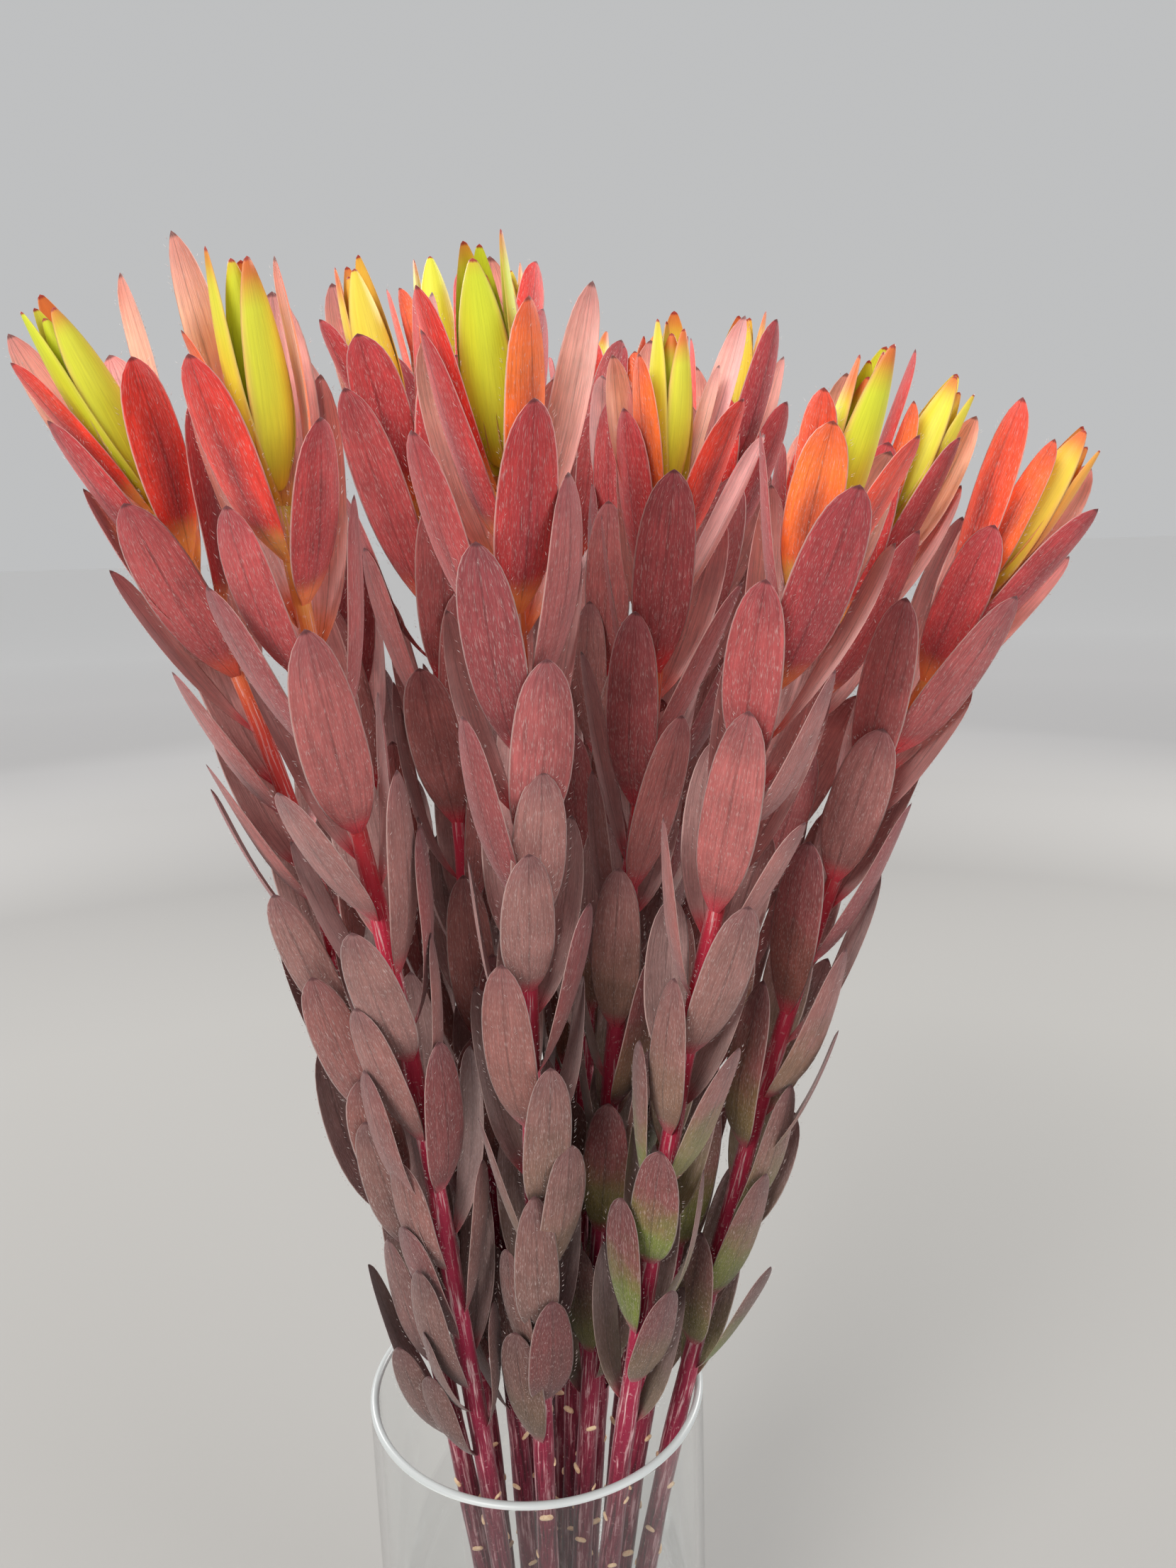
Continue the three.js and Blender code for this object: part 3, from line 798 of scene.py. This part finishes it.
def bladeSurface(blade, share, u, y, shape):  # u from edge to edge, y from the outer skin (-1) to the inner (1)
    centre, tangent, side, inner = bladeFrame(blade, share)
    reach = shape["reach"](share)
    half = blade["width"] / 2 * reach
    lift = half * (u * u) * shape["cup"]
    lift = lift + shape["ripple"] * np.sin(share * surfaceLook["waves"] + shape["phase"]) * np.abs(u) ** 3 * reach
    body = (shape["thick"] / 2 * y - blade["keel"] / 2) * (1 - surfaceLook["edgeThinner"] * u * u)
    body = body * np.minimum(1, reach + surfaceLook["footBody"])
    bent = np.clip(share - surfaceLook["recurveFrom"], 0, 1)
    recurve = shape["recurve"] * bent ** 2 / surfaceLook["recurveOver"]
    return centre + side * (u * half)[:, None] + inner * (lift + body - recurve)[:, None], tangent, side, inner


def addBlade(places, marks, blade, shape, **values):
    places.append(bladeSurface(blade, bladeShare, bladeAcross, bladeSkin, shape)[0])
    addMarks(marks, len(bladeGrid), along=bladeShare, across=bladeAcross, **values)


def leafShapeOf(blade, rng):
    look = leafLook
    youth = min(1, math.exp(-blade["order"] / look["youthOrders"]))
    fullest = look["fullest"] + look["youngFuller"] * youth + rng.uniform(*look["fullestVary"])
    return dict(
        look, youth=youth, reach=lambda share: ovalReach(share, fullest),
        cup=mix(look["cup"], youth) * rng.uniform(*look["cupVary"]),
        ripple=look["ripple"] * rng.uniform(*look["rippleVary"]), phase=rng.uniform(*phases),
        recurve=look["recurve"] * rng.uniform(*look["recurveVary"]))


def greenOf(blade, rng):  # more green low on the right of the bunch, and on a stray leaf elsewhere
    x, _, z = blade["seat"]["root"]
    right = np.clip((x - greenLook["from"]) / greenLook["over"], 0, 1)
    low = np.clip((greenLook["below"] - z) / greenLook["fade"], 0, 1)
    green = right * low * rng.uniform(*greenLook["vary"])
    stray = (rng.random() < greenLook["odds"]) * greenLook["stray"] * low
    return np.clip(green + stray, 0, 1)


def lowOf(blade):  # 0 in the upper half of the bunch, 1 at the rim of the vase
    return np.clip((leafLook["lowFrom"] - blade["seat"]["root"][2]) / leafLook["lowOver"], 0, 1)


def makeLeaves(stem):
    rng = rngOf("leaves", stem)
    places, marks = [], {}
    for blade in stem["leaves"] + stem["inner"]:
        shape = leafShapeOf(blade, rng)
        blade["shape"], tone = shape, rng.random()
        glow = leafLook["youngGlow" if blade["order"] < leafLook["glowOrders"] else "oldGlow"]
        youth = min(1, shape["youth"] * rng.uniform(*glow))
        addBlade(places, marks, blade, shape, outer=0.5 - 0.5 * bladeSkin, tone=tone, youth=youth,
                 green=greenOf(blade, rng), low=lowOf(blade))
    mesh = repeatShape(named("leaves", stem), bladeShape, places, marks)
    dress(mesh, leafMaterial, "leaf", named("stem", stem), levels=1)


# silky hairs, each a slim three-sided cone, on the leaves' edges, their outer skins and the stem
hairLook = {"radius": 0.05, "length": (0.6, 1.5), "steep": 0.9}
edgeHairs = {"count": 24, "share": (0.15, 0.99), "across": 0.98, "out": (0.5, 1), "along": (0.5, 1.1)}
skinHairs = {"count": 24, "share": (0.1, 0.95), "across": (-0.85, 0.85), "skin": 0.95,
             "aside": (-0.8, 0.8), "out": (0.15, 0.6)}
caneHairs = {"count": 420, "from": 190, "power": 0.8, "sunk": 0.97, "up": (0.2, 1.2)}


def placeHairs(roots, directions, lengths, rng):
    d = units(directions)
    flat = np.abs(d[:, 2:3]) < hairLook["steep"]
    e1 = units(np.cross(np.where(flat, (0.0, 0.0, 1.0), (1.0, 0.0, 0.0)), d))
    e2 = np.cross(d, e1)
    radius, (x, y, z) = hairLook["radius"], np.split(hairGrid, 3, 1)
    points = roots[:, None] + e1[:, None] * x * radius + e2[:, None] * y * radius
    points = points + d[:, None] * z * lengths[:, None, None]
    return list(points), list(np.repeat(rng.random((len(roots), 1)), len(hairGrid), axis=1))


def makeHairs(stem):
    rng = rngOf("hairs", stem)

    def draw(look, key):
        return rng.uniform(*look[key], (look["count"], 1))

    roots, directions = [], []
    for blade in stem["leaves"] + stem["inner"]:
        for sign in (-1.0, 1.0):
            share = draw(edgeHairs, "share")[:, 0]
            u = np.full(len(share), sign * edgeHairs["across"])
            at, tangent, side, _ = bladeSurface(blade, share, u, np.zeros(len(share)), blade["shape"])
            roots.append(at)
            directions.append(side * sign * draw(edgeHairs, "out") + tangent * draw(edgeHairs, "along"))
        share, u = draw(skinHairs, "share")[:, 0], draw(skinHairs, "across")[:, 0]
        y = -np.sqrt(1 - u * u) * skinHairs["skin"]
        at, tangent, side, inner = bladeSurface(blade, share, u, y, blade["shape"])
        roots.append(at)
        directions.append(tangent + side * draw(skinHairs, "aside") - inner * draw(skinHairs, "out"))
    count, top = caneHairs["count"], stem["top"]
    z = caneHairs["from"] + (top - caneHairs["from"]) * rng.random(count) ** caneHairs["power"]
    turn = rng.uniform(0, 2 * np.pi, count)
    out = np.stack([np.cos(turn), np.sin(turn), np.zeros(count)], 1)
    roots.append(np.stack([*centres(z, stem), z], 1) + out * (caneRadius(top, z) * caneHairs["sunk"])[:, None])
    directions.append(out + draw(caneHairs, "up") * (0.0, 0.0, 1.0))
    roots, directions = np.concatenate(roots), np.concatenate(directions)
    lengths = rng.uniform(*hairLook["length"], len(roots))
    places, tones = placeHairs(roots, directions, lengths, rng)
    dress(repeatShape(named("hairs", stem), hairShape, places, {"tone": tones}), hairMaterial, "leaf")


# bare stems with the scars of the leaves that were stripped off
caneLook = {
    "sides": 14, "rows": 110, "above": 1.5, "inside": 0.05, "wave": 0.04, "waveLength": 9, "waveTurns": 2,
    "ridge": 0.35, "ridgeWidth": 0.32, "ridgeBelow": 3, "ridgeLength": 9,
}
scarLook = {
    "wide": 2.2, "tall": 1.15, "deep": 0.85, "sunk": 0.25, "droop": -0.35, "lowest": 30.0, "climb": 0.3,
    "turnVary": (-12, 12), "sizeVary": (0.75, 1.15), "spacingVary": (0.8, 1.2),
}
caneShape, caneGrid = makeTubeTemplate("caneShape", caneLook["sides"], caneLook["rows"])


def makeCane(stem):
    rng, look = rngOf("canes", stem), caneLook
    top, floor = stem["top"], vaseSize["floor"]
    z = floor + touch + caneGrid[:, 2] / (look["rows"] - 1) * (top + look["above"] - floor - touch)
    turn = np.arctan2(caneGrid[:, 1], caneGrid[:, 0])
    wave = np.sin(z / look["waveLength"] + turn * look["waveTurns"] + stem["number"])
    radius = caneRadius(top, z) * (1 + look["wave"] * wave) - look["inside"]
    for blade in stem["leaves"]:  # each leaf runs down the stem below its root as a low ridge
        root, out = blade["seat"]["root"], blade["seat"]["out"]
        away = np.angle(np.exp(1j * (turn - math.atan2(out[1], out[0]))))
        below = np.abs(root[2] - z - look["ridgeBelow"]) / look["ridgeLength"]
        across = np.exp(-(away / look["ridgeWidth"]) ** 2)
        radius = radius + look["ridge"] * across * np.clip(1 - below, 0, 1)
    x, y = centres(z, stem)
    places, marks = [np.stack([x + np.cos(turn) * radius, y + np.sin(turn) * radius, z], 1)], {}
    addMarks(marks, len(z), climb=(z - floor) / (top - floor), turn=turn, scar=0.0, tone=rng.random())
    mesh = repeatShape(named("cane", stem), caneShape, places, marks)
    dress(mesh, caneMaterial, "leaf", named("stem", stem))
    makeScars(stem, rng)


def makeScars(stem, rng):
    places, marks, look = [], {}, scarLook
    order, height = len(stem["heights"]), stem["heights"][-1] - leafing["spacing"]
    x, y, z = np.split(scarGrid, 3, 1)
    z = z + look["droop"] * x ** 2  # the ends of the scar turn down
    while height > look["lowest"]:
        turn = stem["turn"] + leafing["turn"] * stem["hand"] * order + rng.uniform(*look["turnVary"])
        turn = math.radians(turn)
        seat = seatOf(stem, height, math.degrees(turn))
        size = rng.uniform(*look["sizeVary"])
        centre = seat["root"] + seat["out"] * (caneRadius(stem["top"], height) - look["sunk"])
        across, deep, tall = (part * look[key] * size for part, key in ((x, "wide"), (y, "deep"), (z, "tall")))
        places.append(centre + (seat["side"] * across + seat["out"] * deep + seat["along"] * tall))
        addMarks(marks, len(scarGrid), climb=look["climb"], turn=turn, scar=1.0, tone=rng.random())
        height -= leafing["spacing"] * rng.uniform(*look["spacingVary"])
        order += 1
    dress(repeatShape(named("scars", stem), scarShape, places, marks), caneMaterial, "leaf")


# buds: three inner bracts and three smaller ones inside them, closed over each tip
budLook = {
    "thick": 0.7, "cup": 0.55, "ripple": 0.15, "recurve": 0.5, "wider": 1.3, "longer": 1.05,
    "fullest": 0.45, "footNarrower": 0.6, "tipPower": 2.4, "tipCurve": 0.66, "baseWidth": 0.1,
    "warmthVary": (-0.18, 0.22),
}
coreLook = {"rise": 6, "turn": 60, "root": 0.4, "shorter": 0.88, "width": 1.02, "base": 0.7, "splay": 0.4}


def bractReach(share):
    fullest = budLook["fullest"]
    foot, tip = footAndTip(share, fullest)
    rise = 1 - budLook["footNarrower"] * foot ** 2
    fall = (1 - tip ** budLook["tipPower"]) ** budLook["tipCurve"]
    return np.maximum(np.where(share < fullest, rise, fall), budLook["baseWidth"])


def makeBracts(stem):
    foot, bracts, cores = stem["top"] + touch, [], []
    for order in range(bud["bracts"]):
        turn = stem["turn"] + budVary["turn"] + 360 / bud["bracts"] * order
        length = bud["length"] * (1 - budVary["shorter"] * order) * budLook["longer"]
        bracts.append(dict(
            bud, seat=seatOf(stem, foot + bud["rise"] * (order + 1), turn), rootRadius=bud["root"],
            length=length, width=bud["width"] * budLook["wider"], keel=leaf["keel"],
            twist=budVary["twist"] * next(stem["draw"])))
        cores.append(dict(
            bracts[-1], seat=seatOf(stem, foot + coreLook["rise"] + order, turn + coreLook["turn"]),
            rootRadius=coreLook["root"], length=length * coreLook["shorter"],
            **{key: bud[key] * coreLook[key] for key in ("width", "base", "splay")}))
    return bracts + cores


def makeBud(stem):
    rng = rngOf("buds", stem)
    places, marks = [], {}
    for blade in makeBracts(stem):
        shape = dict(budLook, phase=rng.uniform(*phases), recurve=budLook["recurve"] * rng.uniform(-1, 1),
                     reach=bractReach)
        warmth = np.clip(stem["warmth"] + rng.uniform(*budLook["warmthVary"]), 0, 1)
        addBlade(places, marks, blade, shape, tone=rng.random(), warmth=warmth)
    mesh = repeatShape(named("bracts", stem), bladeShape, places, marks)
    dress(mesh, bractMaterial, "bract", named("bud", stem), levels=1)


for stem in bunch:
    makeLeaves(stem)
    makeHairs(stem)
    makeCane(stem)
    makeBud(stem)
print("stems, leaves, hairs and bracts made")


# the glass cylinder, turned from its section, and the water in it
# a ring beside each curve keeps the long walls' shading straight
glassLook = {"rimSteps": 14, "cornerSteps": 10, "heelSteps": 6, "heel": 1.5, "turns": 160, "ring": 0.25,
             # the lip's pale, half-clear glass is a painted highlight on the rim
             "colour": "fdfefe", "lip": "f6fbfa", "lipHighlightClear": 0.45, "lipRough": 0.3}
# the water's skin lies just inside the glass, so that light bends once between them
waterLook = {"level": 55.0, "sunk": 0.05, "turnDown": 2.4, "dip": 1.2, "curve": 2.5, "steps": 8, "colour": "fcfefe"}


def spinProfile(points, name):
    bm = bmesh.new()
    verts = [bm.verts.new((r * scale, 0, z * scale)) for r, z in points]
    edges = [bm.edges.new(pair) for pair in zip(verts, verts[1:])]
    bmesh.ops.spin(bm, geom=verts + edges, cent=(0, 0, 0), axis=(0, 0, 1), angle=2 * math.pi,
                   steps=glassLook["turns"], use_merge=True)
    bmesh.ops.remove_doubles(bm, verts=bm.verts, dist=0.000005)
    bmesh.ops.recalc_face_normals(bm, faces=bm.faces)
    return meshOf(bm, name)


def arc(centreR, centreZ, radius, start, end, steps):
    angles = [math.radians(start + (end - start) * i / steps) for i in range(steps + 1)]
    return [(centreR + radius * math.cos(a), centreZ + radius * math.sin(a)) for a in angles]


def makeGlass():
    r, wall, floor, corner, height = (vaseSize[k] for k in ("radius", "wall", "floor", "corner", "height"))
    look, lip, heel, ring = glassLook, wall / 2, glassLook["heel"], glassLook["ring"]
    points = [(0, 0), (r - heel - ring, 0)]
    points += arc(r - heel, heel, heel, -90, 0, look["heelSteps"])
    points += [(r, heel + ring), (r, height - lip - ring)]
    points += arc(r - lip, height - lip, lip, 0, 180, look["rimSteps"])
    points += [(r - wall, height - lip - ring), (r - wall, floor + corner + ring)]
    points += arc(r - wall - corner, floor + corner, corner, 0, -90, look["cornerSteps"])
    points += [(r - wall - corner - ring, floor), (0, floor)]
    mesh = spinProfile(points, "glassVase")
    glass = clearMaterial("clearGlass", look["colour"], Roughness=0.0, IOR=1.5, Transmission_Weight=1.0)
    dress(mesh, glass, "glass", "vase")
    mesh.materials.append(clearMaterial("lipHighlightGlass", look["lip"], Roughness=look["lipRough"], IOR=1.5,
                                        Transmission_Weight=look["lipHighlightClear"]))
    for face in mesh.polygons:  # the lip gets paler, rougher, half-clear glass: a painted highlight standing in for the light that runs up the wall and shines on the polished lip
        face.material_index = int(face.center.z > (height - lip) * scale)


def makeWater():  # its surface climbs the glass in a thin curve
    look, corner, ring = waterLook, vaseSize["corner"], glassLook["ring"]
    r, floor = vaseSize["radius"] - vaseSize["wall"] + look["sunk"], vaseSize["floor"] - look["sunk"]
    level, turnDown, dip = look["level"], look["turnDown"], look["dip"]
    points = [(0, floor), (r - corner - ring, floor)]
    points += arc(r - corner, floor + corner, corner, -90, 0, glassLook["cornerSteps"])
    points += [(r, floor + corner + ring), (r, level - ring)]
    for i in range(look["steps"] + 1):
        share = i / look["steps"]
        points.append((r - turnDown * share, level - dip * (1 - (1 - share) ** look["curve"])))
    points += [(r - turnDown - ring, level - dip), (0, level - dip)]
    material = clearMaterial("clearWater", look["colour"], Roughness=0.0, IOR=1.333, Transmission_Weight=1.0)
    dress(spinProfile(points, "waterBody"), material, "water", "water")


makeGlass()
makeWater()
print("vase and water made")


# pale floor and soft light
studio = {  # the floor grows paler where the lamps reach it less, so that it looks even
    "floor": [(0.0, "a5a3a0"), (0.15, "a5a3a0"), (0.24, "9c9a98"), (0.35, "bbb9b7"), (0.45, "dbd9d8"),
              (0.67, "efedec"), (1.0, "fbfaf9")],
    "reach": 6.0, "behindAt": (-0.5, 0.8), "far": (1.0, "fbfaf9"), "farAt": (2.2, 5.0),
    "floorSize": 60.0, "below": 0.0002, "world": (0.52, 0.525, 0.53, 1.0),
}
lamps = [  # name, place, aimed at, size, watts, colour
    ("keyLight", (-1.5, -2.1, 2.0), (0.02, 0.0, 0.4), 1.6, 68.0, (1.0, 0.98, 0.95)),
    ("fillLight", (2.0, -1.9, 1.3), (0.02, 0.0, 0.35), 1.8, 24.0, (0.96, 0.98, 1.0)),
    ("leftRim", (-1.3, 1.5, 1.5), (0.02, 0.0, 0.45), 0.8, 26.0, (1.0, 1.0, 1.0)),
    ("rightRim", (1.5, 1.3, 1.4), (0.02, 0.0, 0.45), 0.8, 26.0, (1.0, 0.99, 0.97)),
]
lightSteps = 28  # enough turns for light that runs along inside the glass


def makeFloor():
    bm = bmesh.new()
    bmesh.ops.create_grid(bm, x_segments=1, y_segments=1, size=studio["floorSize"])
    bmesh.ops.translate(bm, verts=bm.verts, vec=(0, 0, -studio["below"]))
    mesh = meshOf(bm, "floor")
    material, tree, shader = newMaterial("paleFloor", Roughness=0.8, Specular_IOR_Level=0.1)
    place = objectPlace(tree)
    reach = addNode(tree, "ShaderNodeVectorMath", {0: place}, operation="LENGTH").outputs["Value"]
    behind = fade(tree, addNode(tree, "ShaderNodeSeparateXYZ", {0: place}).outputs[1], studio["behindAt"])
    away = calc(tree, "DIVIDE", times(tree, behind, reach), studio["reach"])
    far = times(tree, fade(tree, reach, studio["farAt"]), calc(tree, "SUBTRACT", 1.0, behind))
    dye(tree, shader, paint(tree, far, ramp(tree, away, studio["floor"]), studio["far"]))
    mesh.materials.append(material)
    floor = addObject("floor", mesh)


def makeLights():
    world = bpy.data.worlds.new("studio")
    world.use_nodes = True
    world.node_tree.nodes["Background"].inputs[0].default_value = studio["world"]
    scene.world = world
    for name, place, target, size, watts, colour in lamps:
        data = bpy.data.lights.new(name, "AREA")
        data.shape, data.size, data.energy, data.color = "DISK", size, watts, colour
        lamp = addObject(name, data)
        lamp.location = place
        lamp.rotation_euler = (Vector(target) - Vector(place)).to_track_quat("-Z", "Y").to_euler()
    scene.view_settings.view_transform = "Standard"
    scene.cycles.max_bounces = scene.cycles.transmission_bounces = lightSteps


makeFloor()
makeLights()
print("studio made")
